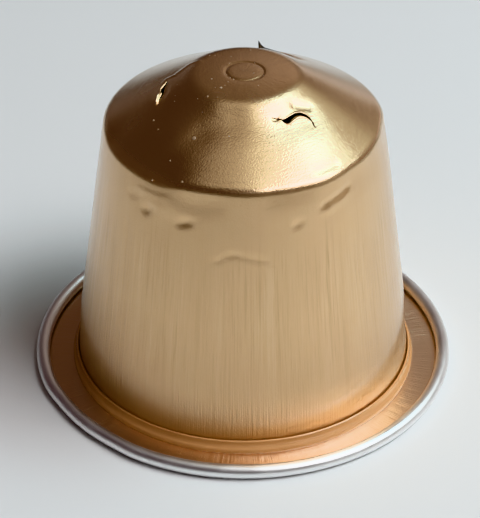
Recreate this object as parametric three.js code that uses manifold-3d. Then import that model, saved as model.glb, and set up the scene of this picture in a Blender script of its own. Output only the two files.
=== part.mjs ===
// A used single-serve coffee capsule, drawn from aluminium sheet, that stands on its foil.
// Millimetres, +Z up. The cup's axis is the Z axis, and the foil's underside is at z = 0.
// Turns are degrees round +Z, measured from +X. The front is -Y, at a turn of -90.

import * as THREE from "three";
import { mergeVertices } from "three/addons/utils/BufferGeometryUtils.js";
import Module from "manifold-3d";

const wasm = await Module();
wasm.setup();

// The sheet and the rolled rim
const SHEET = 0.12; // thickness of the drawn cup
const FOIL = 0.1; // thickness of the lid, which also lifts the flange off the ground
const RIM_RADIUS = 18.5; // the outermost point of the rolled rim
const CURL_RADIUS = 0.6; // of the roll itself, measured outside
const CURL_END = 200; // degrees at which the roll stops, just above the flange
const CURL_STEPS = 10;

// The side wall and the crown
const FOOT_RADIUS = 14.72; // of the wall where it leaves the flange
const FOOT_FILLET = 0.18;
const BAND_HEIGHT = 5.5; // the steeper band at the foot of the wall ends here
const BAND_RADIUS = 14.32;
const SHOULDER_RADIUS = 11.8;
const SHOULDER_HEIGHT = 24.05;
const SHOULDER_ROUND = 0.3; // the shoulder is turned through this small round
const FLAT_RADIUS = 4.5; // the flat on top of the crown
const FLAT_HEIGHT = 28.3;
const CROWN_HEIGHT = 28.55; // at the axis, because the flat is slightly domed
const MARK_RADIUS = 1.56; // a ring pressed into the middle of the crown
const MARK_WIDTH = 0.2;
const MARK_DEPTH = 0.06;
const SEGMENTS = 60; // round the axis

// What fits in and on the cup
const LID_MARGIN = 0.7; // from the roll's middle inwards to the edge of the foil
const RING_WIDTH = 0.44; // of the sealing ring where it sits on the flange
const RING_HEIGHT = 1.1;
const RING_CLEARANCE = 0.1; // between the sealing ring and the wall
const PUCK_CLEARANCE = 0.4; // between the spent coffee and the wall
const PUCK_HEADROOM = 2.4; // from the top of the spent coffee up to the shoulder
const PUCK_ROUND = 1.2;
const PUCK_SEGMENTS = 36;

// The three blade cuts
const CUT_DEPTH = 3; // how far each cutting shape reaches above and below the crown
const BURR_THICKNESS = 0.14;

// Values worked out from those above
const FLANGE_TOP = FOIL + SHEET;
const CURL_CENTRE = RIM_RADIUS - CURL_RADIUS;
const WALL_SLOPE = (BAND_RADIUS - SHOULDER_RADIUS) / (SHOULDER_HEIGHT - BAND_HEIGHT);
const BAND_SLOPE = (FOOT_RADIUS - BAND_RADIUS) / (BAND_HEIGHT - FLANGE_TOP);
const CROWN_SLOPE = (FLAT_HEIGHT - SHOULDER_HEIGHT) / (SHOULDER_RADIUS - FLAT_RADIUS);

const radians = THREE.MathUtils.degToRad;
const lerp = THREE.MathUtils.lerp;

// The wall's outer radius at a height
function wallRadius(height) {
  if (height < BAND_HEIGHT) return FOOT_RADIUS - BAND_SLOPE * (height - FLANGE_TOP);
  return BAND_RADIUS - WALL_SLOPE * (height - BAND_HEIGHT);
}

// The crown's outer height at a radius
function crownHeight(radius) {
  if (radius < FLAT_RADIUS) return lerp(CROWN_HEIGHT, FLAT_HEIGHT, (radius / FLAT_RADIUS) ** 2);
  return FLAT_HEIGHT - CROWN_SLOPE * (radius - FLAT_RADIUS);
}

// Evenly spaced points of a profile, without the first one
function rows(count, from, to, pointAt) {
  return Array.from({ length: count }, (_, i) => pointAt(lerp(from, to, (i + 1) / count)));
}

// One side of the roll, from its free edge over the top and round to a height on the flange
function rollSide(radius, height) {
  const stop = -180 + THREE.MathUtils.radToDeg(Math.asin((CURL_RADIUS - height) / radius));
  const onRoll = (turn) =>
    new THREE.Vector2(
      CURL_CENTRE + radius * Math.cos(radians(turn)),
      CURL_RADIUS + radius * Math.sin(radians(turn)),
    );
  return [onRoll(CURL_END), ...rows(CURL_STEPS, CURL_END, stop, onRoll)];
}

// The lacquered side of the sheet, from the corner under the wall to the middle of the crown
function lacqueredSide() {
  const onWall = (height) => new THREE.Vector2(wallRadius(height), height);
  const onCrown = (radius) => new THREE.Vector2(radius, crownHeight(radius));
  const dentedFrom = lerp(BAND_HEIGHT, SHOULDER_HEIGHT, 0.66);
  const mark = new THREE.Vector2(MARK_RADIUS, crownHeight(MARK_RADIUS) - MARK_DEPTH);
  return [
    new THREE.Vector2(FOOT_RADIUS + FOOT_FILLET, FLANGE_TOP),
    new THREE.Vector2(FOOT_RADIUS + FOOT_FILLET * 0.3, FLANGE_TOP + FOOT_FILLET * 0.3),
    onWall(FLANGE_TOP + FOOT_FILLET),
    ...rows(2, FLANGE_TOP + FOOT_FILLET, BAND_HEIGHT, onWall),
    ...rows(4, BAND_HEIGHT, dentedFrom, onWall),
    ...rows(7, dentedFrom, SHOULDER_HEIGHT - SHOULDER_ROUND, onWall),
    new THREE.Vector2(SHOULDER_RADIUS - SHOULDER_ROUND * 0.25, SHOULDER_HEIGHT),
    onCrown(SHOULDER_RADIUS - SHOULDER_ROUND),
    ...rows(8, SHOULDER_RADIUS - SHOULDER_ROUND, FLAT_RADIUS, onCrown),
    onCrown(FLAT_RADIUS * 0.66),
    onCrown(MARK_RADIUS + MARK_WIDTH),
    mark,
    onCrown(MARK_RADIUS - MARK_WIDTH),
    onCrown(0),
  ];
}

// The other side of the sheet: every point is moved by one thickness, square to the line.
// The line arrives along the flange and leaves along the crown, so both ends move straight down.
function otherSide(line) {
  return line.map((point, i) => {
    if (i === 0 || i === line.length - 1) return new THREE.Vector2(point.x, point.y - SHEET);
    const arriving = point.clone().sub(line[i - 1]).normalize();
    const leaving = line[i + 1].clone().sub(point).normalize();
    const along = arriving.clone().add(leaving).normalize();
    const square = new THREE.Vector2(-along.y, along.x);
    return point.clone().addScaledVector(square, SHEET / along.dot(leaving));
  });
}

// Turns a profile round the Z axis into a closed triangle mesh with shared vertices
function revolve(profile, segments) {
  const lathe = new THREE.LatheGeometry(profile, segments);
  lathe.rotateX(Math.PI / 2);
  lathe.deleteAttribute("normal");
  lathe.deleteAttribute("uv");
  return withoutSlivers(mergeVertices(lathe, 1e-5));
}

// Drops the triangles that the poles of a revolve leave without any area
function withoutSlivers(geometry) {
  const kept = [];
  const index = geometry.index.array;
  for (let i = 0; i < index.length; i += 3) {
    const [a, b, c] = [index[i], index[i + 1], index[i + 2]];
    if (a !== b && b !== c && c !== a) kept.push(a, b, c);
  }
  geometry.setIndex(kept);
  return geometry;
}

function toSolid(geometry) {
  const vertProperties = new Float32Array(geometry.attributes.position.array);
  const triVerts = new Uint32Array(geometry.index.array);
  return new wasm.Manifold(new wasm.Mesh({ numProp: 3, vertProperties, triVerts }));
}

function toGeometry(solid) {
  const mesh = solid.getMesh();
  const geometry = new THREE.BufferGeometry();
  geometry.setAttribute("position", new THREE.BufferAttribute(mesh.vertProperties, 3));
  geometry.setIndex(new THREE.BufferAttribute(mesh.triVerts, 1));
  geometry.computeVertexNormals();
  return geometry;
}

// A place on the wall or on the crown, and the way that a knock there pushes the sheet
function onWall(turn, below) {
  const height = SHOULDER_HEIGHT - below;
  const outwards = new THREE.Vector3(Math.cos(radians(turn)), Math.sin(radians(turn)), 0);
  const place = outwards.clone().multiplyScalar(wallRadius(height)).setZ(height);
  return { place, push: outwards.negate() };
}

function onCrown(turn, radius) {
  const place = new THREE.Vector3(
    radius * Math.cos(radians(turn)),
    radius * Math.sin(radians(turn)),
    crownHeight(radius),
  );
  return { place, push: new THREE.Vector3(0, 0, -1) };
}

function onRim(turn) {
  const outwards = new THREE.Vector3(Math.cos(radians(turn)), Math.sin(radians(turn)), 0);
  const place = outwards.clone().multiplyScalar(RIM_RADIUS).setZ(CURL_RADIUS);
  return { place, push: outwards.negate() };
}

// A knock runs from one place to another. A negative depth raises the sheet into a ridge.
function knock(from, to, width, depth) {
  const push = from.push.clone().add(to.push).normalize();
  return { line: new THREE.Line3(from.place, to.place), push, width, depth };
}

const CUT_RADIUS = lerp(FLAT_RADIUS, SHOULDER_RADIUS, 0.32); // where the blades come down
const KNOCKS = [
  // the shoulder, pressed down at the front left and in at the right
  knock(onWall(-156, 0.4), onCrown(-128, SHOULDER_RADIUS), 1.8, 0.42),
  knock(onWall(-34, 0.3), onWall(4, 0.3), 2.2, 0.3),
  // hollows in the wall under the shoulder
  knock(onWall(-108, 1.6), onWall(-99, 1.1), 1.3, 0.32),
  knock(onWall(-131, 3.3), onWall(-128, 2.6), 0.9, 0.24),
  knock(onWall(-115, 3.6), onWall(-112, 3.2), 1.0, 0.26),
  knock(onWall(-72, 2.8), onWall(-69, 2.4), 1.0, 0.2),
  knock(onWall(-61, 1.3), onWall(-48, 0.9), 0.8, 0.3),
  // the crown, sunk round the blade cuts
  knock(onCrown(-42, CUT_RADIUS - 0.9), onCrown(-38, CUT_RADIUS - 1.1), 1.0, 0.34),
  knock(onCrown(-164, CUT_RADIUS), onCrown(178, CUT_RADIUS), 0.9, 0.24),
  knock(onCrown(52, CUT_RADIUS), onCrown(72, CUT_RADIUS), 0.9, 0.24),
  // the fold that runs from the flat to the left cut
  knock(onCrown(150, FLAT_RADIUS), onCrown(178, CUT_RADIUS - 0.6), 0.6, -0.16),
  // the right side just above the flange, and the rim at the front left
  knock(onWall(-4, SHOULDER_HEIGHT - 4.4), onWall(3, SHOULDER_HEIGHT - 4.0), 1.2, 0.25),
  knock(onRim(-150), onRim(-128), 1.6, 0.18),
];

// Moves every vertex by the knocks that reach it, so both sides of the sheet move together
function knocked(geometry) {
  const position = geometry.attributes.position;
  const vertex = new THREE.Vector3();
  const nearest = new THREE.Vector3();
  for (let i = 0; i < position.count; i += 1) {
    vertex.fromBufferAttribute(position, i);
    const moved = vertex.clone();
    for (const { line, push, width, depth } of KNOCKS) {
      line.closestPointToPoint(vertex, true, nearest);
      const fade = Math.exp(-((vertex.distanceTo(nearest) / width) ** 2));
      if (fade > 0.01) moved.addScaledVector(push, depth * fade);
    }
    position.setXYZ(i, moved.x, moved.y, moved.z);
  }
  return geometry;
}

// Each blade cut lies between two arcs that meet at its ends. Bow is how far the middle line
// arches towards the axis, and gape is how far the lips stand apart.
const CUTS = [
  { turn: -52, radius: CUT_RADIUS - 0.3, length: 3.5, heading: 4, bow: 0.9, gape: 0.5 },
  { turn: -172, radius: CUT_RADIUS + 0.15, length: 2.7, heading: 72, bow: -0.15, gape: 0.4 },
  { turn: 62, radius: CUT_RADIUS, length: 3.0, heading: 152, bow: 0.2, gape: 0.45 },
];

function cutTool({ turn, radius, length, heading, bow, gape }) {
  const half = length / 2;
  const outline = new THREE.Shape();
  outline.moveTo(-half, 0);
  outline.quadraticCurveTo(0, 2 * (bow + gape / 2), half, 0);
  outline.quadraticCurveTo(0, 2 * (bow - gape / 2), -half, 0);
  const tool = new THREE.ExtrudeGeometry(outline, {
    depth: 2 * CUT_DEPTH,
    bevelEnabled: false,
    curveSegments: 6,
  });
  tool.rotateZ(radians(heading));
  const { place } = onCrown(turn, radius);
  tool.translate(place.x, place.y, place.z - CUT_DEPTH);
  tool.deleteAttribute("normal");
  tool.deleteAttribute("uv");
  return toSolid(withoutSlivers(mergeVertices(tool, 1e-5)));
}

// The torn tongue of sheet that stands up at the back cut
function burr(cut, width, height) {
  const outline = new THREE.Shape();
  outline.moveTo(-width / 2, -SHEET * 2);
  outline.lineTo(width / 2, -SHEET * 2);
  outline.lineTo(width / 2, height * 0.3);
  outline.lineTo(-width * 0.3, height);
  const tongue = new THREE.ExtrudeGeometry(outline, { depth: BURR_THICKNESS, bevelEnabled: false });
  tongue.rotateX(Math.PI / 2);
  tongue.rotateZ(radians(cut.heading + 180));
  const { place } = onCrown(cut.turn, cut.radius - cut.bow - cut.gape);
  tongue.translate(place.x, place.y, place.z);
  tongue.deleteAttribute("normal");
  tongue.deleteAttribute("uv");
  return toSolid(withoutSlivers(mergeVertices(tongue, 1e-5)));
}

function cupGeometry() {
  const lacquered = lacqueredSide();
  const rollOutside = rollSide(CURL_RADIUS, FOIL);
  const rollInside = rollSide(CURL_RADIUS - SHEET, FLANGE_TOP);
  const bare = [...rollOutside, ...otherSide(lacquered)];
  const profile = [...bare.reverse(), ...rollInside, ...lacquered];
  let cup = toSolid(knocked(revolve(profile, SEGMENTS)));
  for (const cut of CUTS) cup = cup.subtract(cutTool(cut));
  return toGeometry(cup.add(burr(CUTS[2], 1.1, 0.75)));
}

// The foil lies flat under the flange and stops short of the roll
function lidGeometry() {
  const radius = CURL_CENTRE - LID_MARGIN;
  return revolve(
    [
      new THREE.Vector2(0, 0),
      new THREE.Vector2(radius, 0),
      new THREE.Vector2(radius, FOIL),
      new THREE.Vector2(0, FOIL),
    ],
    SEGMENTS,
  );
}

// The sealing ring sits on the flange in the corner under the wall, with a round outer side
function ringGeometry() {
  const top = FLANGE_TOP + RING_HEIGHT;
  const innerFoot = FOOT_RADIUS + FOOT_FILLET + RING_CLEARANCE;
  const outerFoot = innerFoot + RING_WIDTH;
  const innerTop = wallRadius(top) + RING_CLEARANCE;
  const bead = (turn) =>
    new THREE.Vector2(
      lerp(innerTop, outerFoot, Math.sin(radians(turn))),
      lerp(FLANGE_TOP + RING_HEIGHT * 0.25, top, Math.cos(radians(turn))),
    );
  return revolve(
    [
      bead(0),
      new THREE.Vector2(innerFoot, FLANGE_TOP + FOOT_FILLET),
      new THREE.Vector2(innerFoot, FLANGE_TOP),
      new THREE.Vector2(outerFoot, FLANGE_TOP),
      bead(90),
      ...rows(4, 90, 0, bead),
    ],
    SEGMENTS,
  );
}

// The spent coffee, pressed onto the foil by the water and clear of the wall
function puckGeometry() {
  const top = SHOULDER_HEIGHT - PUCK_HEADROOM;
  const inside = (height) => wallRadius(height) - SHEET - PUCK_CLEARANCE;
  return revolve(
    [
      new THREE.Vector2(0, FOIL),
      new THREE.Vector2(inside(FOIL), FOIL),
      new THREE.Vector2(inside(BAND_HEIGHT), BAND_HEIGHT),
      new THREE.Vector2(inside(top - PUCK_ROUND), top - PUCK_ROUND),
      new THREE.Vector2(inside(top) - PUCK_ROUND, top),
      new THREE.Vector2(0, top + PUCK_ROUND * 0.3),
    ],
    PUCK_SEGMENTS,
  );
}

const lacqueredAluminium = new THREE.MeshStandardMaterial({
  color: 0xc2a274,
  metalness: 1,
  roughness: 0.28,
});
const foil = new THREE.MeshStandardMaterial({ color: 0xc9c9c6, metalness: 1, roughness: 0.35 });
const elastomer = new THREE.MeshStandardMaterial({ color: 0xb87a45, metalness: 0, roughness: 0.3 });
const coffee = new THREE.MeshStandardMaterial({ color: 0x2a1a10, metalness: 0, roughness: 0.95 });

function piece(name, geometry, material) {
  const mesh = new THREE.Mesh(geometry, material);
  mesh.name = name;
  return mesh;
}

const capsule = new THREE.Group();
capsule.add(
  piece("capsule_cup", cupGeometry(), lacqueredAluminium),
  piece("foil_lid", lidGeometry(), foil),
  piece("sealing_ring", ringGeometry(), elastomer),
  piece("coffee_puck", puckGeometry(), coffee),
);

export default capsule;
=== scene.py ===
# %% [markdown]
# # A used coffee capsule
# The real object is a cup drawn from aluminium sheet, lacquered gold. Its rim is rolled, its foil
# lid is sealed on underneath, and it stands on that lid. A machine has pierced its crown with
# three blades, and handling has dented it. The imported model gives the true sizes. This script
# dresses it: a fine sheet surface with its dents and torn cuts, and a finish for every surface.

# %% Load the frame
import math
import random

import bmesh
import bpy
import numpy as np
from mathutils import Matrix, Vector


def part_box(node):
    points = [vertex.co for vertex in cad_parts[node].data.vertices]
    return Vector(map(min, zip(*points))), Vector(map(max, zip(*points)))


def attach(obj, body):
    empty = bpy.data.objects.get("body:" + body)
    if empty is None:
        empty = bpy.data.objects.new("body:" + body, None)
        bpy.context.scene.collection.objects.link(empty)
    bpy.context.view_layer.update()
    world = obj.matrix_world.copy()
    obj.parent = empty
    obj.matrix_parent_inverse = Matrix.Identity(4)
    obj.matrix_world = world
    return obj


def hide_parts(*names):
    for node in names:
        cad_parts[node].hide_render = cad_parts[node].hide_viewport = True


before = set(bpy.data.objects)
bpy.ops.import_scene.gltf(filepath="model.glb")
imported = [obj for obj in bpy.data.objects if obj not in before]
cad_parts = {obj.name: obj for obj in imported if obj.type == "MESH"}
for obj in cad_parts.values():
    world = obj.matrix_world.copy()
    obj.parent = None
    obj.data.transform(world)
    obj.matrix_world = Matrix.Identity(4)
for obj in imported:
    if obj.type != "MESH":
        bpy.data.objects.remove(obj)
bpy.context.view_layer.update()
cup_low, cup_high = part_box("capsule_cup")
print("rim across", cup_high.x - cup_low.x, "height", cup_high.z)

# %% [markdown]
# ## The camera
# A reflection on a shiny cup depends on exactly where the eye is. So the camera was fitted to the
# outlines of the rim, the wall and the pressed mark, and its place and lens are kept as found.

# %% The camera, in metres and radians
CAMERA_PLACE = Vector((0.0, -0.1531, 0.1151))
CAMERA_DOWN = 0.603
CAMERA_TURN = -0.002
CAMERA_ROLL = 0.005
FOCAL_PIXELS = 2124.3
PHOTO_LONG_SIDE = 518
SENSOR = 36.0
CLIP_START = 0.01

forward = Vector(
    (
        math.sin(CAMERA_TURN) * math.cos(CAMERA_DOWN),
        math.cos(CAMERA_TURN) * math.cos(CAMERA_DOWN),
        -math.sin(CAMERA_DOWN),
    )
)
level_right = forward.cross(Vector((0, 0, 1))).normalized()
level_up = level_right.cross(forward)
right = level_right * math.cos(CAMERA_ROLL) + level_up * math.sin(CAMERA_ROLL)
up = right.cross(forward)
camera_data = bpy.data.cameras.new("camera")
camera_data.sensor_width = SENSOR
camera_data.lens = FOCAL_PIXELS / PHOTO_LONG_SIDE * SENSOR
camera_data.clip_start = CLIP_START
camera = bpy.data.objects.new("camera", camera_data)
turned_to = Matrix((right, up, -forward)).transposed().to_4x4()
camera.matrix_world = Matrix.Translation(CAMERA_PLACE) @ turned_to
bpy.context.scene.collection.objects.link(camera)
bpy.context.scene.camera = camera
print("camera lens", round(camera_data.lens, 1))

# %% [markdown]
# ## Helpers for finishes
# The floor, the room and every finish are node trees. Each small helper makes one node, links it
# and gives back its output, so that a finish below reads as a short list of steps. The finishes
# work from Object coordinates, because those stay with the part when it moves.

# %% Materials and nodes
scene = bpy.context.scene


def principled(name, color, roughness, metallic=0.0):
    material = bpy.data.materials.new(name)
    material.use_nodes = True
    shader = material.node_tree.nodes["Principled BSDF"]
    shader.inputs["Base Color"].default_value = (*color, 1)
    shader.inputs["Roughness"].default_value = roughness
    shader.inputs["Metallic"].default_value = metallic
    return material, shader


def node(tree, kind, **values):
    made = tree.nodes.new(kind)
    for name, value in values.items():
        setattr(made, name, value)
    return made


def link(tree, output, target):
    tree.links.new(output, target)


def object_place(tree):
    return node(tree, "ShaderNodeTexCoord").outputs["Object"]


def separate(tree, vector):
    """The X, Y and Z outputs of a vector."""
    made = node(tree, "ShaderNodeSeparateXYZ")
    link(tree, vector, made.inputs[0])
    return made.outputs


def math_node(tree, operation, *values, clamp=False):
    made = node(tree, "ShaderNodeMath", operation=operation, use_clamp=clamp)
    for socket, value in zip(made.inputs, values):
        if isinstance(value, (int, float)):
            socket.default_value = value
        else:
            link(tree, value, socket)
    return made.outputs[0]


def noise_node(tree, vector, scale, detail=3.0, roughness=0.55):
    made = node(tree, "ShaderNodeTexNoise")
    made.inputs["Scale"].default_value = scale
    made.inputs["Detail"].default_value = detail
    made.inputs["Roughness"].default_value = roughness
    link(tree, vector, made.inputs["Vector"])
    return made.outputs["Fac"]


def span(tree, value, low, high, to_low=0.0, to_high=1.0):
    made = node(tree, "ShaderNodeMapRange", clamp=True)
    for name, number in (("From Min", low), ("From Max", high), ("To Min", to_low), ("To Max", to_high)):
        made.inputs[name].default_value = number
    link(tree, value, made.inputs["Value"])
    return made.outputs["Result"]


def mixed_color(tree, factor, first, second):
    made = node(tree, "ShaderNodeMix", data_type="RGBA")
    link(tree, factor, made.inputs["Factor"])
    for socket, color in ((made.inputs["A"], first), (made.inputs["B"], second)):
        if isinstance(color, tuple):
            socket.default_value = (*color, 1)
        else:
            link(tree, color, socket)
    return made.outputs["Result"]


def mixed_number(tree, factor, first, second):
    made = node(tree, "ShaderNodeMix", data_type="FLOAT")
    sockets = (made.inputs["Factor"], made.inputs["A"], made.inputs["B"])
    for socket, value in zip(sockets, (factor, first, second)):
        if isinstance(value, float):
            socket.default_value = value
        else:
            link(tree, value, socket)
    return made.outputs["Result"]


def bump(tree, height, strength, distance, normal=None):
    made = node(tree, "ShaderNodeBump")
    made.inputs["Strength"].default_value = strength
    made.inputs["Distance"].default_value = distance
    link(tree, height, made.inputs["Height"])
    if normal is not None:
        link(tree, normal, made.inputs["Normal"])
    return made.outputs["Normal"]


# %% [markdown]
# ## Floor
# The cup stands on a pale, plain surface. Its colour darkens further out, a painted falloff of
# light, where mostly the metal sees it, so the wall mirrors a pale floor at its foot and a darker
# one above. The floor lies a hair under the lid, because two faces in one plane would flicker.

# %% The floor
FLOOR_HALF = 0.7
FLOOR_DROP = 0.00002
FLOOR_PALE = (0.70, 0.715, 0.72)
# Painted falloff of light: the floor's colour far from the cup.
FLOOR_FALLOFF_DARK = (0.24, 0.23, 0.225)
FLOOR_ROUGHNESS = 0.6
FADE_FROM = 0.085
FADE_TO = 0.3

floor_bm = bmesh.new()
bmesh.ops.create_grid(floor_bm, x_segments=1, y_segments=1, size=FLOOR_HALF)
bmesh.ops.translate(floor_bm, vec=(0, 0, -FLOOR_DROP), verts=floor_bm.verts)
floor_mesh = bpy.data.meshes.new("floor")
floor_bm.to_mesh(floor_mesh)
floor_bm.free()
floor = bpy.data.objects.new("floor", floor_mesh)
scene.collection.objects.link(floor)

floor_material, floor_shader = principled("pale_stone", FLOOR_PALE, FLOOR_ROUGHNESS)
floor_mesh.materials.append(floor_material)
floor_tree = floor_material.node_tree
floor_reach = node(floor_tree, "ShaderNodeVectorMath", operation="LENGTH")
link(floor_tree, object_place(floor_tree), floor_reach.inputs[0])
# The floor's colour darkens between FADE_FROM and FADE_TO from the middle: painted falloff of light.
painted_falloff = span(floor_tree, floor_reach.outputs["Value"], FADE_FROM, FADE_TO)
floor_color = mixed_color(floor_tree, painted_falloff, FLOOR_PALE, FLOOR_FALLOFF_DARK)
link(floor_tree, floor_color, floor_shader.inputs["Base Color"])
print("floor", floor.dimensions.x, "across")

# %% [markdown]
# ## Light
# Metal shows what stands round it, so the light is built as cards. A large window stands high on
# the right, with a smaller, bluer sill and pane beside it. A skylight and a ceiling hang overhead,
# a doorway and a wall stand behind on the right, and two low pale cards lie near the horizon. Most
# of them fade towards their edges, so that no card draws a hard line on the crown. Everything else
# stays dark and warm, because the left side and the top of the real cup reflect a dark room.

# %% Helpers for the cards
CARD_REACH = 0.6
CARD_AIM = Vector((0, 0, 0.012))
CARD_PEAK = 16.0


def sky_place(turn, height, distance=CARD_REACH):
    """A place at a compass turn and a height above the horizon, both in degrees."""
    level = distance * math.cos(math.radians(height))
    return (
        level * math.cos(math.radians(turn)),
        level * math.sin(math.radians(turn)),
        distance * math.sin(math.radians(height)),
    )


def area_light(name, place, width, height, watts, color):
    data = bpy.data.lights.new(name, "AREA")
    data.shape = "RECTANGLE"
    data.size, data.size_y = width, height
    data.energy = watts
    data.color = color
    light = bpy.data.objects.new(name, data)
    light.location = place
    light.rotation_euler = (CARD_AIM - Vector(place)).to_track_quat("-Z", "Y").to_euler()
    scene.collection.objects.link(light)
    return light


def soften(light):
    """Fade a card towards its edges, as a curtain does with a window.

    The share across and the share up run from 0 to 1. Each makes a hill, and the two hills
    multiplied reach one sixteenth in the middle, which CARD_PEAK brings back to full strength."""
    light.data.use_nodes = True
    tree = light.data.node_tree
    shares = separate(tree, node(tree, "ShaderNodeNewGeometry").outputs["Parametric"])
    hills = []
    for share in (shares["X"], shares["Y"]):
        other = math_node(tree, "SUBTRACT", 1.0, share)
        hills.append(math_node(tree, "MULTIPLY", share, other, clamp=True))
    strength = math_node(tree, "MULTIPLY", math_node(tree, "MULTIPLY", *hills), CARD_PEAK)
    link(tree, strength, tree.nodes["Emission"].inputs["Strength"])


# %% The cards: name, place, width, height, watts, colour, and whether the edges fade
CARDS = [
    ("window", sky_place(-22, 56), 0.44, 0.3, 6.6, (0.95, 0.955, 0.98), True),
    ("sill", sky_place(2, 43), 0.3, 0.22, 1.6, (0.76, 0.95, 1.0), True),
    ("pane", sky_place(22, 57), 0.22, 0.2, 1.4, (0.62, 0.92, 1.0), True),
    ("skylight", (0.17, -0.02, 0.66), 0.24, 0.32, 0.24, (0.87, 1.0, 0.82), True),
    ("ceiling", (-0.04, -0.02, 0.7), 0.44, 0.5, 0.3, (0.98, 0.94, 0.82), True),
    ("doorway", sky_place(80, 30), 0.3, 0.26, 0.07, (1.0, 0.82, 0.72), True),
    ("right_wall", sky_place(42, 36), 0.26, 0.3, 0.11, (0.88, 1.0, 0.86), True),
    ("back_right", sky_place(64, 5), 0.5, 0.09, 0.08, (1.0, 0.95, 0.92), False),
    ("back_left", sky_place(122, 12), 0.42, 0.14, 0.02, (1.0, 0.93, 0.9), False),
]
for name, place, width, height, watts, color, fades in CARDS:
    card = area_light(name, place, width, height, watts, color)
    if fades:
        soften(card)
print("cards", len(CARDS))

# %% [markdown]
# The room behind the lights is dark and warm. Its right side glows a little, where the window
# lights a wall, and the flat top of the crown mirrors that glow. A world shader makes it: the
# closer a direction is to the middle of the glow, the brighter. The neutral view transform keeps
# the gold from turning grey where it is bright.

# %% The dark room and its glow
ROOM_DARK = (0.074, 0.049, 0.049)
ROOM_GLOW = (0.22, 0.18, 0.15)
GLOW_DIRECTION = sky_place(20, 30, 1.0)
GLOW_FALL = 1.5

world = bpy.data.worlds.new("dark_room")
world.use_nodes = True
scene.world = world
scene.view_settings.view_transform = "Khronos PBR Neutral"
sky = world.node_tree
facing = node(sky, "ShaderNodeVectorMath", operation="DOT_PRODUCT")
facing.inputs[1].default_value = GLOW_DIRECTION
link(sky, node(sky, "ShaderNodeTexCoord").outputs["Generated"], facing.inputs[0])
lit = node(sky, "ShaderNodeClamp")
link(sky, facing.outputs["Value"], lit.inputs["Value"])
glow = node(sky, "ShaderNodeVectorMath", operation="MULTIPLY_ADD")
glow.inputs[1].default_value = ROOM_GLOW
glow.inputs[2].default_value = ROOM_DARK
link(sky, math_node(sky, "POWER", lit.outputs[0], GLOW_FALL), glow.inputs[0])
link(sky, glow.outputs[0], sky.nodes["Background"].inputs["Color"])
print("room nodes", len(sky.nodes))

# %% [markdown]
# ## The sheet
# The cup was drawn from one flat blank, so it is modelled as one sheet. Only its outer, lacquered
# side is drawn as a profile, from the free edge of the roll to the middle of the crown. The
# profile is spun round the axis, and the thickness comes last, from a Solidify modifier. Each
# stretch of it has a number of steps, and the stretches that carry dents have the most. Lengths
# in these cells are millimetres, and the last step of each piece brings it to metres.

# %% Sizes of the sheet, and the steps along its profile
TO_METRES = 0.001
SHEET = 0.12
FOIL = 0.1
RIM_RADIUS = 18.494
CURL_RADIUS = 0.596
CURL_HEIGHT = 0.6
CURL_END = 200
FOOT_RADIUS = 14.72
FOOT_FILLET = 0.18
BAND_HEIGHT = 5.5
BAND_RADIUS = 14.32
SHOULDER_RADIUS = 11.8
SHOULDER_HEIGHT = 24.05
SHOULDER_ROUND = 0.45
FLAT_RADIUS = 4.5
FLAT_HEIGHT = 28.3
FLAT_ROUND = 0.5
CROWN_HEIGHT = 28.53
MARK_RADIUS = 1.56
MARK_WIDTH = 0.26
MARK_DEPTH = 0.07
DENTED_LENGTH = 7.5

CURL_STEPS = 26
FLANGE_STEPS = 5
FOOT_STEPS = 4
BAND_STEPS = 8
PLAIN_STEPS = 12
DENTED_STEPS = 30
SHOULDER_STEPS = 6
CROWN_STEPS = 34
FLAT_STEPS = 5
MARK_STEPS = (7, 8, 4)

FLANGE_TOP = FOIL + SHEET
CURL_CENTRE = RIM_RADIUS - CURL_RADIUS
CURL_INSIDE = CURL_RADIUS - SHEET
WALL_SLOPE = (BAND_RADIUS - SHOULDER_RADIUS) / (SHOULDER_HEIGHT - BAND_HEIGHT)
BAND_SLOPE = (FOOT_RADIUS - BAND_RADIUS) / (BAND_HEIGHT - FLANGE_TOP)
CROWN_SLOPE = (FLAT_HEIGHT - SHOULDER_HEIGHT) / (SHOULDER_RADIUS - FLAT_RADIUS)


# %% The profile
def wall_radius(height):
    if height < BAND_HEIGHT:
        return FOOT_RADIUS - BAND_SLOPE * (height - FLANGE_TOP)
    return BAND_RADIUS - WALL_SLOPE * (height - BAND_HEIGHT)


def crown_height(radius):
    if radius < FLAT_RADIUS:
        return CROWN_HEIGHT - (CROWN_HEIGHT - FLAT_HEIGHT) * (radius / FLAT_RADIUS) ** 2
    return FLAT_HEIGHT - CROWN_SLOPE * (radius - FLAT_RADIUS)


def between(start, end, steps):
    """Evenly spaced numbers after the first, up to the last."""
    return [start + (end - start) * (i + 1) / steps for i in range(steps)]


def rounded(start, corner, end, steps):
    """Points of a soft corner, as a quadratic curve."""
    points = []
    for t in between(0, 1, steps):
        u = 1 - t
        points.append(tuple(u * u * a + 2 * u * t * b + t * t * c for a, b, c in zip(start, corner, end)))
    return points


def mark_groove(radius):
    """How deep the pressed ring is at a radius."""
    return MARK_DEPTH * math.exp(-(((radius - MARK_RADIUS) / (MARK_WIDTH / 2)) ** 2))


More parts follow.
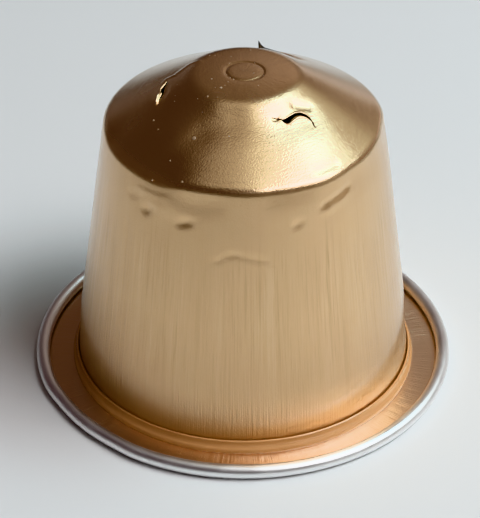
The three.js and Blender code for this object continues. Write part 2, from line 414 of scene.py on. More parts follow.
def cup_profile():
    curl_stop = -180 + math.degrees(math.asin((CURL_HEIGHT - FLANGE_TOP) / CURL_INSIDE))
    line = []
    for turn in [CURL_END] + between(CURL_END, curl_stop, CURL_STEPS):
        angle = math.radians(turn)
        across, rise = CURL_INSIDE * math.cos(angle), CURL_INSIDE * math.sin(angle)
        line.append((CURL_CENTRE + across, CURL_HEIGHT + rise))
    flange_in = FOOT_RADIUS + FOOT_FILLET
    line += [(r, FLANGE_TOP) for r in between(line[-1][0], flange_in, FLANGE_STEPS)]
    foot_top = FLANGE_TOP + FOOT_FILLET
    foot_point = (wall_radius(foot_top), foot_top)
    line += rounded((flange_in, FLANGE_TOP), (FOOT_RADIUS, FLANGE_TOP), foot_point, FOOT_STEPS)
    line += [(wall_radius(z), z) for z in between(foot_top, BAND_HEIGHT, BAND_STEPS)]
    dented_from = SHOULDER_HEIGHT - DENTED_LENGTH
    line += [(wall_radius(z), z) for z in between(BAND_HEIGHT, dented_from, PLAIN_STEPS)]
    wall_top = SHOULDER_HEIGHT - SHOULDER_ROUND
    line += [(wall_radius(z), z) for z in between(dented_from, wall_top, DENTED_STEPS)]
    crown_start = SHOULDER_RADIUS - SHOULDER_ROUND
    crown_point = (crown_start, crown_height(crown_start))
    line += rounded(line[-1], (SHOULDER_RADIUS, SHOULDER_HEIGHT), crown_point, SHOULDER_STEPS)
    flat_out, flat_in = FLAT_RADIUS + FLAT_ROUND, FLAT_RADIUS - FLAT_ROUND
    line += [(r, crown_height(r)) for r in between(crown_start, flat_out, CROWN_STEPS)]
    flat_point = (flat_in, crown_height(flat_in))
    line += rounded(line[-1], (FLAT_RADIUS, FLAT_HEIGHT), flat_point, FLAT_STEPS)
    mark_out, mark_in = MARK_RADIUS + MARK_WIDTH, MARK_RADIUS - MARK_WIDTH
    to_mark, over_mark, to_middle = MARK_STEPS
    marked = between(flat_in, mark_out, to_mark)
    marked += between(marked[-1], mark_in, over_mark)
    line += [(r, crown_height(r) - mark_groove(r)) for r in marked]
    line += [(r, crown_height(r)) for r in between(line[-1][0], 0, to_middle)]
    return line


profile = cup_profile()
print("profile points", len(profile))

# %% [markdown]
# Spinning a chain of edges gives quads in neat rows, which carry dents well. The pole at the
# crown closes when the doubles are merged. A single sheet has no inside, so after the normals
# are recalculated the script looks at one face of the flat, and turns all of them if it is wrong.

# %% Spin a profile into a sheet
SPIN_STEPS = 240
MERGE = 1e-5


def turned(points, steps):
    bm = bmesh.new()
    row = [bm.verts.new((r, 0, z)) for r, z in points]
    edges = [bm.edges.new(pair) for pair in zip(row, row[1:])]
    bmesh.ops.spin(
        bm,
        geom=row + edges,
        cent=(0, 0, 0),
        axis=(0, 0, 1),
        angle=math.tau,
        steps=steps,
        use_merge=True,
        use_duplicate=False,
    )
    bmesh.ops.remove_doubles(bm, verts=bm.verts, dist=MERGE)
    bmesh.ops.recalc_face_normals(bm, faces=bm.faces)
    return bm


cup = turned(profile, SPIN_STEPS)
top_face = max(cup.faces, key=lambda f: f.calc_center_median().z)
if top_face.normal.z < 0:
    bmesh.ops.reverse_faces(cup, faces=cup.faces)
print("sheet faces", len(cup.faces))

# %% [markdown]
# ## The blade cuts
# Each cut is a path seen from above, and every point of it says how far the lips gape there. The
# sheet is subdivided near the paths, the faces inside the gape are deleted, and the vertices on
# the new edges are moved onto the lips. That gives clean torn lips without a boolean. Only the
# crown takes part, because the free edge of the roll is an open edge too.

# %% The paths of the cuts: x, y and gape in millimetres, seen from above
RIGHT_CUT = [
    (2.20, -5.42, 0.02),
    (2.70, -5.36, 0.09),
    (3.02, -5.38, 0.08),
    (3.28, -5.42, 0.36),
    (3.54, -5.38, 0.54),
    (3.88, -5.02, 0.46),
    (4.25, -4.64, 0.42),
    (4.62, -4.42, 0.42),
    (4.98, -4.38, 0.34),
    (5.28, -4.50, 0.22),
    (5.52, -4.78, 0.12),
    (5.72, -5.20, 0.04),
]
LEFT_CUT = [
    (-6.48, 0.62, 0.05),
    (-6.55, 0.20, 0.32),
    (-6.78, -0.20, 0.38),
    (-6.80, -0.62, 0.36),
    (-6.74, -0.95, 0.20),
    (-6.90, -1.35, 0.22),
    (-7.02, -1.72, 0.12),
    (-7.25, -2.20, 0.03),
]
BACK_CUT = [
    (1.75, 6.45, 0.05),
    (2.40, 6.42, 0.36),
    (3.10, 6.10, 0.42),
    (3.80, 5.65, 0.30),
    (4.40, 5.15, 0.05),
]
CUTS = [RIGHT_CUT, LEFT_CUT, BACK_CUT]
CROWN_ONLY = SHOULDER_HEIGHT + 0.5
print("cuts", len(CUTS))


# %% Where a point lies beside a path
def beside(points, path):
    """For each point: distance to the path, side, length along the path, gape, nearest place.

    The side is +1 towards the cup's axis and -1 away from it."""
    flat = points[:, :2]
    best = np.full(len(flat), np.inf)
    along, gape, side = np.zeros(len(flat)), np.zeros(len(flat)), np.ones(len(flat))
    nearest = np.zeros((len(flat), 2))
    walked = 0.0
    for (x0, y0, g0), (x1, y1, g1) in zip(path, path[1:]):
        start, run = np.array((x0, y0)), np.array((x1 - x0, y1 - y0))
        length = np.linalg.norm(run)
        t = np.clip((flat - start) @ run / length**2, 0, 1)
        place = start + t[:, None] * run
        distance = np.linalg.norm(flat - place, axis=1)
        closer = distance < best
        inward = np.array((-run[1], run[0]))
        inward = inward * np.sign(-(start + run / 2) @ inward)
        best = np.where(closer, distance, best)
        along = np.where(closer, walked + t * length, along)
        gape = np.where(closer, g0 + t * (g1 - g0), gape)
        side = np.where(closer, np.where((flat - place) @ inward >= 0, 1, -1), side)
        nearest = np.where(closer[:, None], place, nearest)
        walked += length
    return best, side, along, gape, nearest


def places_of(verts):
    return np.array([v.co for v in verts])


# %% [markdown]
# The sheet is fine enough for dents, but not for a cut less than half a millimetre wide. Two
# passes of subdivision near the paths give small faces there and leave the rest alone. A crease
# beside the left cut is refined with them. The middle of each small face then says whether it
# lies inside a gape.

# %% Refine the sheet near the cuts and near the crease
CREASE = [(-3.8, 2.05, 0), (-4.6, 1.95, 0), (-5.4, 1.3, 0), (-5.8, 0.97, 0), (-6.5, 1.1, 0), (-6.8, 0.7, 0)]
COARSE_REACH = 1.6
FINE_REACH = 0.75


def refine(bm, paths, reach):
    crown = [v for v in bm.verts if v.co.z > CROWN_ONLY]
    places = places_of(crown)
    near = set()
    for path in paths:
        distance = beside(places, path)[0]
        near.update(v for v, d in zip(crown, distance) if d < reach)
    edges = [e for e in bm.edges if e.verts[0] in near and e.verts[1] in near]
    bmesh.ops.subdivide_edges(bm, edges=edges, cuts=1, use_grid_fill=True)


refine(cup, [*CUTS, CREASE], COARSE_REACH)
refine(cup, [RIGHT_CUT, LEFT_CUT], FINE_REACH)
print("after refining", len(cup.faces))

# %% Open the cuts
ON_THE_PATH = 1e-6

for path in CUTS:
    centres = np.array([f.calc_center_median() for f in cup.faces])
    distance, _, _, gape, _ = beside(centres, path)
    inside = (distance < gape / 2) & (centres[:, 2] > CROWN_ONLY)
    gone = [f for f, out in zip(cup.faces[:], inside) if out]
    bmesh.ops.delete(cup, geom=gone, context="FACES")
    lips = [v for v in cup.verts if v.is_boundary and v.co.z > CROWN_ONLY]
    places = places_of(lips)
    distance, _, _, gape, nearest = beside(places, path)
    for v, d, g, near in zip(lips, distance, gape, nearest):
        if ON_THE_PATH < d < g:
            away = (Vector(v.co.xy) - Vector(near)) / d
            target = Vector(near) + away * g / 2
            v.co.x, v.co.y = target
    print("cut opened", len(gone), "faces")

# %% [markdown]
# ## Knocks
# A knock is a short line on the sheet with a width, a depth and a direction. It fades like a bell
# curve, so knocks add up and never tear the surface. A knock on the wall or on the rim pushes in
# towards the axis, and one on the crown pushes down. A negative depth makes a bulge.


# %% Places on the sheet, and the way a knock there pushes
def on_wall(turn, below):
    angle = math.radians(turn)
    height = SHOULDER_HEIGHT - below
    radius = wall_radius(height)
    outwards = np.array((math.cos(angle), math.sin(angle), 0.0))
    return np.array((radius * outwards[0], radius * outwards[1], height)), -outwards


def on_crown(turn, radius):
    angle = math.radians(turn)
    place = np.array((radius * math.cos(angle), radius * math.sin(angle), crown_height(radius)))
    return place, np.array((0.0, 0.0, -1.0))


def on_rim(turn):
    angle = math.radians(turn)
    outwards = np.array((math.cos(angle), math.sin(angle), 0.0))
    return outwards * RIM_RADIUS + np.array((0, 0, CURL_HEIGHT)), -outwards


def knock(start, end, width, depth):
    push = start[1] + end[1]
    return start[0], end[0], push / np.linalg.norm(push), width, depth


# %% The list of knocks
KNOCKS = [
    # the shoulder, pressed down at the front left and in at the right
    knock(on_crown(-158, 11.8), on_crown(-128, 11.8), 1.9, 0.44),
    knock(on_wall(-38, 0.2), on_wall(-8, 0.2), 2.4, 0.30),
    knock(on_wall(-76, 0.1), on_wall(-66, 0.1), 1.2, 0.12),
    # hollows and bulges in the wall under the shoulder
    knock(on_wall(-112, 1.4), on_wall(-101, 0.9), 1.0, 0.07),
    knock(on_wall(-130.5, 3.2), on_wall(-129, 2.9), 0.38, 0.15),
    knock(on_wall(-114.5, 3.3), on_wall(-111, 3.0), 0.34, 0.14),
    knock(on_wall(-124, 2.2), on_wall(-119, 2.0), 1.0, -0.07),
    knock(on_wall(-139, 2.4), on_wall(-136, 2.2), 0.4, 0.05),
    knock(on_wall(-134, 1.4), on_wall(-122, 1.3), 0.3, -0.04),
    knock(on_wall(-69.5, 3.2), on_wall(-68.5, 3.0), 0.28, 0.11),
    knock(on_wall(-57.5, 2.1), on_wall(-45, 1.5), 0.26, 0.17),
    knock(on_wall(-57, 2.6), on_wall(-47, 2.1), 0.4, -0.05),
    knock(on_wall(-54.6, 2.1), on_wall(-54.0, 2.05), 0.2, -0.12),
    knock(on_wall(-54.5, 3.2), on_wall(-53.5, 3.1), 0.4, 0.04),
    # long shallow marks further down the wall
    knock(on_wall(-140, 5.0), on_wall(-138.5, 6.8), 0.2, 0.05),
    knock(on_wall(-100, 6.1), on_wall(-94, 5.35), 0.2, 0.05),
    knock(on_wall(-94, 5.35), on_wall(-82, 6.0), 0.2, 0.05),
    knock(on_wall(-4, SHOULDER_HEIGHT - 4.4), on_wall(3, SHOULDER_HEIGHT - 4.0), 1.2, 0.22),
    # the crown
    knock(on_crown(-118, 6.6), on_crown(-101, 6.0), 2.0, 0.2),
    knock(on_crown(-136, 10.5), on_crown(-118, 5.5), 1.1, -0.07),
    knock(on_crown(-57, 10.9), on_crown(-47, 11.0), 0.35, 0.08),
    knock(on_crown(-60, 6.4), on_crown(-47, 6.4), 2.0, 0.26),
    knock(on_crown(-66.5, 6.0), on_crown(-64.5, 6.0), 0.24, 0.08),
    knock(on_crown(-43, 5.5), on_crown(-34, 6.2), 0.4, 0.09),
    knock(on_crown(52, 6.8), on_crown(72, 6.8), 0.9, 0.24),
    # the rim at the front left
    knock(on_rim(-150), on_rim(-128), 1.6, 0.16),
]
print("knocks", len(KNOCKS))

# %% [markdown]
# The lips of a cut need more than knocks. A blade raises the sheet beside it or presses it down,
# so a lip has ridges and hollows of its own, counted from the cut. They fade towards the ends of
# the cut. The crease on the left has a ridge of the same kind. One function moves any place on
# the sheet, so what sits on the crown later can follow it.

# %% Ridges and hollows along the lips: side, distance from the lip, width and height
RIGHT_LIPS = [(1, 0.0, 0.12, 0.06)]
LEFT_LIPS = [(1, 0.2, 0.3, -0.06), (-1, 0.3, 0.3, 0.06)]
BACK_LIPS = [(1, 0.1, 0.3, 0.1), (-1, 0.3, 0.5, -0.15)]
LIPS = [(RIGHT_CUT, RIGHT_LIPS), (LEFT_CUT, LEFT_LIPS), (BACK_CUT, BACK_LIPS)]
CREASE_RIDGE = 0.075
CREASE_WIDTH = 0.2
CREASE_ENDS = (0.08, 0.92)


def bell(distance, width):
    return np.exp(-((distance / width) ** 2))


def length_of(path):
    return sum(math.dist(a[:2], b[:2]) for a, b in zip(path, path[1:]))


def deform(places):
    moved = places.copy()
    for start, end, push, width, depth in KNOCKS:
        run = end - start
        t = np.clip((places - start) @ run / (run @ run), 0, 1)
        distance = np.linalg.norm(places - (start + t[:, None] * run), axis=1)
        moved += push * (depth * bell(distance, width))[:, None]
    crown = places[:, 2] > CROWN_ONLY
    for path, ridges in LIPS:
        distance, side, _, gape, _ = beside(places, path)
        lip = distance - gape / 2
        middle = np.array(path[len(path) // 2][:2])
        reach = min(math.dist(middle, end[:2]) for end in (path[0], path[-1]))
        from_middle = np.linalg.norm(places[:, :2] - middle, axis=1) / reach
        taper = np.clip(1 - from_middle**2, 0, 1) ** 2
        for lip_side, where, width, height in ridges:
            lift = height * bell(lip - where, width) * taper
            moved[:, 2] += np.where(crown & (side == lip_side), lift, 0)
    distance, _, along, _, _ = beside(places, CREASE)
    taper = np.sin(np.clip(along / length_of(CREASE), *CREASE_ENDS) * math.pi) ** 0.5
    moved[:, 2] += np.where(crown, CREASE_RIDGE * bell(distance, CREASE_WIDTH) * taper, 0)
    return moved


sheet_places = deform(places_of(cup.verts))
for vertex, place in zip(cup.verts, sheet_places):
    vertex.co = place
print("sheet knocked", len(sheet_places), "vertices")

# %% [markdown]
# ## Materials
# The cup has two: gold lacquer on the outer side and bare aluminium on the inner side, which the
# roll turns outwards. The lacquer is a clear tint over metal, so it is a metal with a gold
# colour and a clear coat. Drawing leaves streaks along the wall, made here from noise that is
# stretched along the height and wrapped round the axis, so it has no seam. The crown has fine
# rings round the axis instead. The foot is darker and the flange darker at the left, both painted
# shade, and the crown's gold is painted paler so that its highlights read whiter.

# %% The lacquer's colours, and the heights and widths where they change, in metres
GOLD = (0.83, 0.56, 0.305)
STREAK_GOLD = (0.68, 0.44, 0.23)
PALE_GOLD = (0.88, 0.615, 0.355)
# Painted shade at the foot of the wall, darkest just above the flange.
FOOT_SHADE_GOLD = (0.66, 0.425, 0.23)
# Painted paler gold on the crown, so that its highlights read whiter.
CROWN_HIGHLIGHT_GOLD = (0.84, 0.61, 0.36)
FLANGE_GOLD = (0.97, 0.72, 0.5)
# Painted shade on the left of the flange.
FLANGE_LEFT_SHADE = (0.52, 0.33, 0.22)

FOOT_SHADE_ZONE = (0.012, 0.001)
CROWN_ZONE = ((SHOULDER_HEIGHT - 0.5) * TO_METRES, (SHOULDER_HEIGHT + 0.1) * TO_METRES)
FLANGE_ZONE = (0.0007, 0.0004)
# Painted shade: the flange darkens from x = -11 mm to -15 mm at the left.
LEFT_SHADE_ZONE = (-0.011, -0.015)
DRAWN_ZONE = (0.0235, 0.0195)

# %% The lacquer's grain: scales and weights of noises, ranges, and reliefs as strength and depth
COAT_ROUGHNESS = 0.18
WALL_ROUGHNESS = (0.42, 0.34)
CROWN_ROUGHNESS = (0.21, 0.28)
FLANGE_ROUGHNESS = 0.3
MIDDLE_OF_NOISE = (0.3, 0.7)

STREAK_STRETCH = 1.6
STREAK_NOISES = [(9.0, 0.4), (34.0, 0.8), (95.0, 1.0), (230.0, 0.7)]
STREAK_RANGE = (1.2, 1.7)
RAGGED = 0.006
DARK_STREAKS = (0.05, 0.5, 0.0, 0.75)
PALE_STREAKS = (-0.05, -0.5, 0.0, 0.8)
RING_STRETCH = 1100.0

PATCH_RELIEF = (0.13, 0.0004)
STREAK_RELIEF = (0.55, 0.00004)
RING_RELIEF = (0.7, 0.00003)
GRAIN_RELIEF = (0.95, 0.00002)


# %% [markdown]
# Flange, wall and crown each have a colour and a roughness of their own, and the height of a
# point says which one it gets, with a short blend between them. The reliefs are bumps in a chain,
# each on top of the last: soft patches, drawn streaks, rings on the crown, and fine grain.

# %% Gold lacquer
def wrapped(tree, parts, stretch):
    """A place on a tube of one metre radius, with the height stretched."""
    flat = node(tree, "ShaderNodeCombineXYZ")
    link(tree, parts["X"], flat.inputs["X"])
    link(tree, parts["Y"], flat.inputs["Y"])
    unit = node(tree, "ShaderNodeVectorMath", operation="NORMALIZE")
    link(tree, flat.outputs[0], unit.inputs[0])
    tall = node(tree, "ShaderNodeCombineXYZ")
    link(tree, math_node(tree, "MULTIPLY", parts["Z"], stretch), tall.inputs["Z"])
    joined = node(tree, "ShaderNodeVectorMath", operation="ADD")
    link(tree, unit.outputs[0], joined.inputs[0])
    link(tree, tall.outputs[0], joined.inputs[1])
    return joined.outputs[0]


def drawn_streaks(tree, around, height):
    """The streaks, and the zone of the wall that shows them, with a ragged upper edge."""
    noises = [noise_node(tree, around, scale, detail=2.0) for scale, _ in STREAK_NOISES]
    total = 0.0
    for noise, (_, weight) in zip(noises, STREAK_NOISES):
        total = math_node(tree, "MULTIPLY_ADD", noise, weight, total)
    ragged = math_node(tree, "MULTIPLY_ADD", noises[1], RAGGED, height)
    return span(tree, total, *STREAK_RANGE), span(tree, ragged, *DRAWN_ZONE)


def streaked_gold(tree, streaks, zone, around):
    """Gold with darker and paler streaks, bolder in some places round the wall than in others."""
    patchy = span(tree, noise_node(tree, around, scale=4.5, detail=1.0), 0.35, 0.65, 0.3, 1.0)
    shown = math_node(tree, "MULTIPLY", zone, patchy)
    bold = math_node(tree, "MULTIPLY", math_node(tree, "SUBTRACT", 0.5, streaks), shown)
    darker = mixed_color(tree, span(tree, bold, *DARK_STREAKS), GOLD, STREAK_GOLD)
    return mixed_color(tree, span(tree, bold, *PALE_STREAKS), darker, PALE_GOLD)


def gold_lacquer():
    material, shader = principled("gold_lacquer", GOLD, FLANGE_ROUGHNESS, metallic=1.0)
    shader.inputs["Coat Weight"].default_value = 1.0
    shader.inputs["Coat Roughness"].default_value = COAT_ROUGHNESS
    tree = material.node_tree
    place = object_place(tree)
    parts = separate(tree, place)
    around = wrapped(tree, parts, STREAK_STRETCH)
    crown = span(tree, parts["Z"], *CROWN_ZONE)
    flange = span(tree, parts["Z"], *FLANGE_ZONE)
    streaks, zone = drawn_streaks(tree, around, parts["Z"])
    patches = noise_node(tree, place, scale=170.0, detail=1.5)
    grain = noise_node(tree, place, scale=6500.0, detail=2.0)
    rings = noise_node(tree, wrapped(tree, parts, RING_STRETCH), scale=5.0)

    normal = bump(tree, patches, *PATCH_RELIEF)
    normal = bump(tree, math_node(tree, "MULTIPLY", streaks, zone), *STREAK_RELIEF, normal)
    normal = bump(tree, math_node(tree, "MULTIPLY", rings, crown), *RING_RELIEF, normal)
    link(tree, bump(tree, grain, *GRAIN_RELIEF, normal), shader.inputs["Normal"])

    wall_rough = span(tree, streaks, 0.0, 1.0, *WALL_ROUGHNESS)
    crown_rough = span(tree, patches, *MIDDLE_OF_NOISE, *CROWN_ROUGHNESS)
    rough = mixed_number(tree, crown, wall_rough, crown_rough)
    link(tree, mixed_number(tree, flange, rough, FLANGE_ROUGHNESS), shader.inputs["Roughness"])

    wall = streaked_gold(tree, streaks, zone, around)
    # Painted shade: the wall darkens towards its foot.
    foot_shaded = mixed_color(tree, span(tree, parts["Z"], *FOOT_SHADE_ZONE), wall, FOOT_SHADE_GOLD)
    # The crown takes the paler gold, painted so that its highlights read whiter.
    upper = mixed_color(tree, crown, foot_shaded, CROWN_HIGHLIGHT_GOLD)
    # Painted shade: the flange darkens towards its left side.
    left_shaded = span(tree, parts["X"], *LEFT_SHADE_ZONE)
    lower = mixed_color(tree, left_shaded, FLANGE_GOLD, FLANGE_LEFT_SHADE)
    link(tree, mixed_color(tree, flange, upper, lower), shader.inputs["Base Color"])
    return material


gold = gold_lacquer()
print("gold lacquer nodes", len(gold.node_tree.nodes))

# %% [markdown]
# The other finishes are simpler. The aluminium is bare metal with fine lines round the axis. The
# seal is a glossy, copper-tinted elastomer with a clear coat. The foil has fine creases, the
# grounds are coarse and damp, the splashes are dried coffee, and the burr at the back cut is
# nearly black. Each one takes its pattern from a noise at its own scale.

# %% Bare aluminium, elastomer, foil and coffee
ALUMINIUM = (0.90, 0.90, 0.90)
COPPER = (0.62, 0.33, 0.15)
COPPER_DARK, COPPER_LIGHT = (0.58, 0.30, 0.13), (0.68, 0.37, 0.17)
FOIL_GREY = (0.82, 0.82, 0.81)
GROUNDS = (0.035, 0.018, 0.010)
GROUNDS_DARK, GROUNDS_LIGHT = (0.020, 0.010, 0.006), (0.075, 0.040, 0.022)
SPLASH_DARK, SPLASH_LIGHT = (0.26, 0.16, 0.09), (0.50, 0.37, 0.25)
# A near-black finish for the burr at the back cut.
NEAR_BLACK_DARK, NEAR_BLACK_LIGHT = (0.012, 0.009, 0.008), (0.03, 0.02, 0.015)


def bare_aluminium():
    material, shader = principled("bare_aluminium", ALUMINIUM, 0.4, metallic=1.0)
    tree = material.node_tree
    place = object_place(tree)
    lines = noise_node(tree, wrapped(tree, separate(tree, place), stretch=400.0), scale=14.0)
    link(tree, bump(tree, lines, strength=0.2, distance=0.00002), shader.inputs["Normal"])
    rough = span(tree, noise_node(tree, place, scale=400.0), *MIDDLE_OF_NOISE, 0.34, 0.46)
    link(tree, rough, shader.inputs["Roughness"])
    return material


def copper_elastomer():
    material, shader = principled("copper_elastomer", COPPER, 0.24)
    shader.inputs["Coat Weight"].default_value = 1.0
    shader.inputs["Coat Roughness"].default_value = 0.06
    tree = material.node_tree
    place = object_place(tree)
    waves = noise_node(tree, place, scale=700.0)
    link(tree, bump(tree, waves, strength=0.1, distance=0.00005), shader.inputs["Normal"])
    tint = mixed_color(tree, noise_node(tree, place, scale=250.0), COPPER_DARK, COPPER_LIGHT)
    link(tree, tint, shader.inputs["Base Color"])
    return material


def lid_foil():
    material, shader = principled("lid_foil", FOIL_GREY, 0.3, metallic=1.0)
    tree = material.node_tree
    creases = noise_node(tree, object_place(tree), scale=260.0, detail=6.0, roughness=0.6)
    link(tree, bump(tree, creases, strength=0.35, distance=0.0002), shader.inputs["Normal"])
    link(tree, span(tree, creases, *MIDDLE_OF_NOISE, 0.22, 0.4), shader.inputs["Roughness"])
    return material


def spent_coffee():
    material, shader = principled("spent_coffee", GROUNDS, 0.75)
    tree = material.node_tree
    grains = noise_node(tree, object_place(tree), scale=1800.0, detail=5.0, roughness=0.7)
    link(tree, bump(tree, grains, strength=0.9, distance=0.0004), shader.inputs["Normal"])
    tint = mixed_color(tree, grains, GROUNDS_DARK, GROUNDS_LIGHT)
    link(tree, tint, shader.inputs["Base Color"])
    return material


def speckled_finish(name, dark, light):
    material, shader = principled(name, dark, 0.4)
    tree = material.node_tree
    speckles = span(tree, noise_node(tree, object_place(tree), scale=900.0), 0.35, 0.65)
    link(tree, mixed_color(tree, speckles, dark, light), shader.inputs["Base Color"])
    return material


aluminium = bare_aluminium()
elastomer = copper_elastomer()
foil = lid_foil()
coffee = spent_coffee()
splash = speckled_finish("dried_splash", SPLASH_DARK, SPLASH_LIGHT)
near_black = speckled_finish("near_black_burr", NEAR_BLACK_DARK, NEAR_BLACK_LIGHT)
print("finishes", len(bpy.data.materials))

# %% [markdown]
# ## Torn lips
# A blade tears thin sheet and bends the torn edge. Each torn lip is a narrow strip: a row of
# vertices along the cut, extruded sideways and lifted or sunk. Every place along it has a width
# and a lift, so one helper makes a bright flap, a sunken lip and the burr at the back cut.


# %% A strip of torn sheet along a lip
LIP_BEND = 1.4


def lip_line(path, side):
    """The places where a lip of a cut runs, on one side of its path."""
    line = []
    for index, (x, y, gape) in enumerate(path):
        before, after = path[max(index - 1, 0)], path[min(index + 1, len(path) - 1)]
        across = Vector((before[1] - after[1], after[0] - before[0])).normalized()
        if across.dot(Vector((-x, -y))) < 0:
            across.negate()
        line.append(Vector((x, y)) + across * side * gape / 2)
    return line


def spot(vert):
    """A vertex's place as a key: an extruded vertex starts where its parent is."""
    return tuple(round(c, 6) for c in vert.co)


def torn_strip(bm, line, side, widths, lifts, steps=3):
    """side: +1 towards the axis; widths and lifts: one number for each place of the line."""
    starts = []
    for place in line:
        z = deform(np.array([(place.x, place.y, crown_height(place.length))]))[0][2]
        starts.append(Vector((place.x, place.y, z)))
    row = [bm.verts.new(start) for start in starts]
    edges = [bm.edges.new(pair) for pair in zip(row, row[1:])]
    numbers = {vert: index for index, vert in enumerate(row)}
    for step in range(1, steps + 1):
        share = step / steps
        made = bmesh.ops.extrude_edge_only(bm, edges=edges)["geom"]
        fresh = [g for g in made if isinstance(g, bmesh.types.BMVert)]
        edges = [g for g in made if isinstance(g, bmesh.types.BMEdge) and set(g.verts) <= set(fresh)]
        parents = {spot(vert): index for vert, index in numbers.items()}
        numbers = {vert: parents[spot(vert)] for vert in fresh}
        for vert, index in numbers.items():
            start = starts[index]
            inward = Vector((-start.x, -start.y, 0)).normalized() * side
            rise = CROWN_SLOPE * side * widths[index] * share + lifts[index] * share**LIP_BEND
            vert.co = start + inward * widths[index] * share + Vector((0, 0, rise))


# %% The torn lips and the burr: widths and lifts in millimetres, from place to place
LEFT_WIDTHS = [0.06, 0.15, 0.2, 0.17, 0.04]
LEFT_LIFTS = [0.08, 0.2, 0.26, 0.2, 0.04]
RIGHT_WIDTHS = [0.06, 0.16, 0.30, 0.34, 0.32, 0.28, 0.16, 0.04]
RIGHT_LIFTS = [-0.02, -0.06, -0.12, -0.12, -0.11, -0.09, -0.05, -0.01]
BURR_PATH = [(1.2, 6.62), (1.4, 6.62), (1.7, 6.6), (2.2, 6.54), (2.85, 6.34), (3.4, 6.06)]
BURR_WIDTHS = [0.02, 0.12, 0.16, 0.14, 0.1, 0.04]
BURR_LIFTS = [0.79, 0.48, 0.32, 0.3, 0.24, 0.08]

lips = bmesh.new()
torn_strip(lips, lip_line(LEFT_CUT[3:], -1), -1, LEFT_WIDTHS, LEFT_LIFTS)
torn_strip(lips, lip_line(RIGHT_CUT[3:11], -1), 1, RIGHT_WIDTHS, RIGHT_LIFTS)
burr = bmesh.new()
torn_strip(burr, [Vector(place) for place in BURR_PATH], -1, BURR_WIDTHS, BURR_LIFTS)

for torn in (lips, burr):
    bmesh.ops.remove_doubles(torn, verts=torn.verts, dist=MERGE)
    bmesh.ops.recalc_face_normals(torn, faces=torn.faces)
    downward = [face for face in torn.faces if face.normal.z < 0]
    bmesh.ops.reverse_faces(torn, faces=downward)
    print("torn strip", len(torn.faces), "faces")

# %% [markdown]
# ## Dried splashes
# Coffee has splashed on the crown and dried. Each splash is a small ball, pressed very flat and
# half sunk in the deformed sheet, so that a low dome shows. The larger ones are where the
# photograph shows them, and small ones are scattered with a fixed seed.

# %% Dried splashes: x, y and radius in millimetres
SPLASHES = [(-1.92, -2.57, 0.13), (-7.42, -3.88, 0.11), (-7.01, -5.04, 0.10), (-4.04, -6.88, 0.17)]
SPLASHES += [(-5.95, -8.21, 0.09), (-7.37, -9.20, 0.10), (-4.93, -10.30, 0.11), (-3.0, -3.6, 0.10)]
SPLASHES += [(-2.2, -3.9, 0.08), (0.75, -0.35, 0.06), (-0.9, -1.35, 0.07), (-2.7, -1.2, 0.08)]
SCATTERED = 34
SCATTER_REACH = (1.0, 11.0)
SCATTER_SIZE = (0.03, 0.06)
SPLASH_FLATNESS = 0.3
SEED = 7

random.seed(SEED)
for _ in range(SCATTERED):
    turn, reach = random.uniform(-math.pi, math.pi), random.uniform(*SCATTER_REACH)
    SPLASHES.append((reach * math.cos(turn), reach * math.sin(turn), random.uniform(*SCATTER_SIZE)))

splashes = bmesh.new()
for x, y, size in SPLASHES:
    ground = deform(np.array([(x, y, crown_height(math.hypot(x, y)))]))[0]
    made = bmesh.ops.create_uvsphere(splashes, u_segments=10, v_segments=6, radius=size)["verts"]
    bmesh.ops.scale(splashes, vec=(1, 1, SPLASH_FLATNESS), verts=made)
    slope = CROWN_SLOPE if math.hypot(x, y) > FLAT_RADIUS else 0
    facing_up = Vector((x, y, 0)).normalized() * slope + Vector((0, 0, 1))
    lean = Vector((0, 0, 1)).rotation_difference(facing_up.normalized()).to_matrix()
    bmesh.ops.rotate(splashes, cent=(0, 0, 0), matrix=lean, verts=made)
    bmesh.ops.translate(splashes, vec=Vector(ground), verts=made)
print("splashes", len(SPLASHES))

# %% [markdown]
# ## From sheet to cup
# The mesh is scaled to metres, shaded smooth, and given its thickness. Solidify grows the second
# side away from the lacquer and gives it the next material slot, bare aluminium. The cut edges
# keep the lacquer. The torn lips are thinner than the sheet, because tearing stretches them.


# %% Put a finished mesh in the scene
def piece(name, bm, materials, slot, *replaced):
    bmesh.ops.scale(bm, vec=(TO_METRES,) * 3, verts=bm.verts)
    for face in bm.faces:
        face.smooth = True
    mesh = bpy.data.meshes.new(name)
    bm.to_mesh(mesh)
    bm.free()
    for material in materials:
        mesh.materials.append(material)
    made = bpy.data.objects.new(name, mesh)
    scene.collection.objects.link(made)
    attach(made, "root")
    if replaced:
        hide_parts(*replaced)
    print(name, len(mesh.polygons), "faces")
    return made


drawn_cup = piece("drawn_cup", cup, [gold, aluminium], "lacquered_aluminium", "capsule_cup")
torn_lips = piece("torn_lips", lips, [gold, aluminium], "lacquered_aluminium")
back_burr = piece("back_burr", burr, [near_black], "spent_coffee")
piece("dried_splashes", splashes, [splash], "spent_coffee")


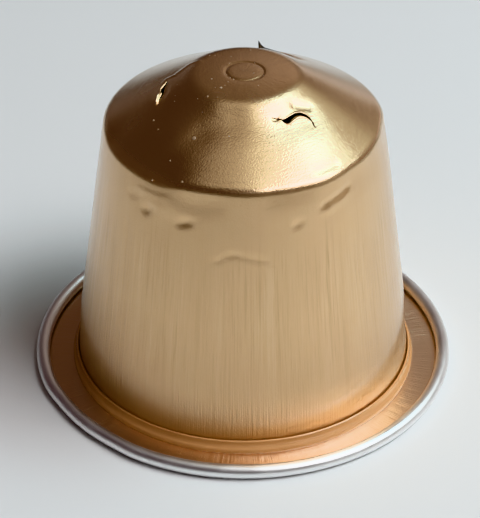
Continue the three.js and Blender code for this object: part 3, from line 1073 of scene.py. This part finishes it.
# %% Give the sheets their thickness
def thicken(sheet, millimetres):
    thickness = sheet.modifiers.new("thickness", "SOLIDIFY")
    thickness.thickness = millimetres * TO_METRES
    thickness.offset = -1.0
    thickness.use_even_offset = True
    thickness.material_offset = 1
    thickness.material_offset_rim = 0


thicken(drawn_cup, SHEET)
thicken(torn_lips, SHEET / 2)
thicken(back_burr, SHEET)

# %% [markdown]
# ## The sealing ring
# A bead of elastomer fills the corner between the flange and the wall. Its section is a flat
# foot, an inner side that follows the wall, and a round edge outside that carries the highlight.

# %% The sealing ring
RING_WIDTH = 0.2
RING_HEIGHT = 1.1
RING_CLEARANCE = 0.1
RING_EDGE = 0.16
BEAD_HEIGHT = 0.6
BEAD_SIDE = 0.1
BEAD_TOP = (0.12, 0.1)
NECK = (0.04, 0.22)
EDGE_DROP = 0.06


def ring_profile():
    top = FLANGE_TOP + RING_HEIGHT
    inner_foot = FOOT_RADIUS + FOOT_FILLET + RING_CLEARANCE
    outer_foot = inner_foot + RING_WIDTH
    inner_top = wall_radius(top) + RING_CLEARANCE
    edge = inner_top + RING_EDGE
    line = [(inner_top, top), (inner_foot, FLANGE_TOP + FOOT_FILLET), (inner_foot, FLANGE_TOP)]
    line += [(outer_foot, FLANGE_TOP), (outer_foot, FLANGE_TOP + BEAD_SIDE)]
    bead_top = (outer_foot - BEAD_TOP[0], BEAD_HEIGHT + BEAD_TOP[1])
    neck = (edge + NECK[0], BEAD_HEIGHT + NECK[1])
    line += rounded(line[-1], (outer_foot, BEAD_HEIGHT), bead_top, steps=8)
    line += rounded(line[-1], neck, (edge, top - EDGE_DROP), steps=6)
    line += rounded(line[-1], (edge, top), (inner_top, top), steps=4)
    return line


ring = turned(ring_profile(), SPIN_STEPS)
piece("seal_bead", ring, [elastomer], "seal", "sealing_ring")

# %% [markdown]
# ## The lid and the coffee
# Both shapes are plain, and hidden as the capsule stands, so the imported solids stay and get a
# finish: bright foil with fine creases, and dark damp grounds.

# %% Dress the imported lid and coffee
for name, material in (("foil_lid", foil), ("coffee_puck", coffee)):
    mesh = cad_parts[name].data
    mesh.materials.clear()
    mesh.materials.append(material)
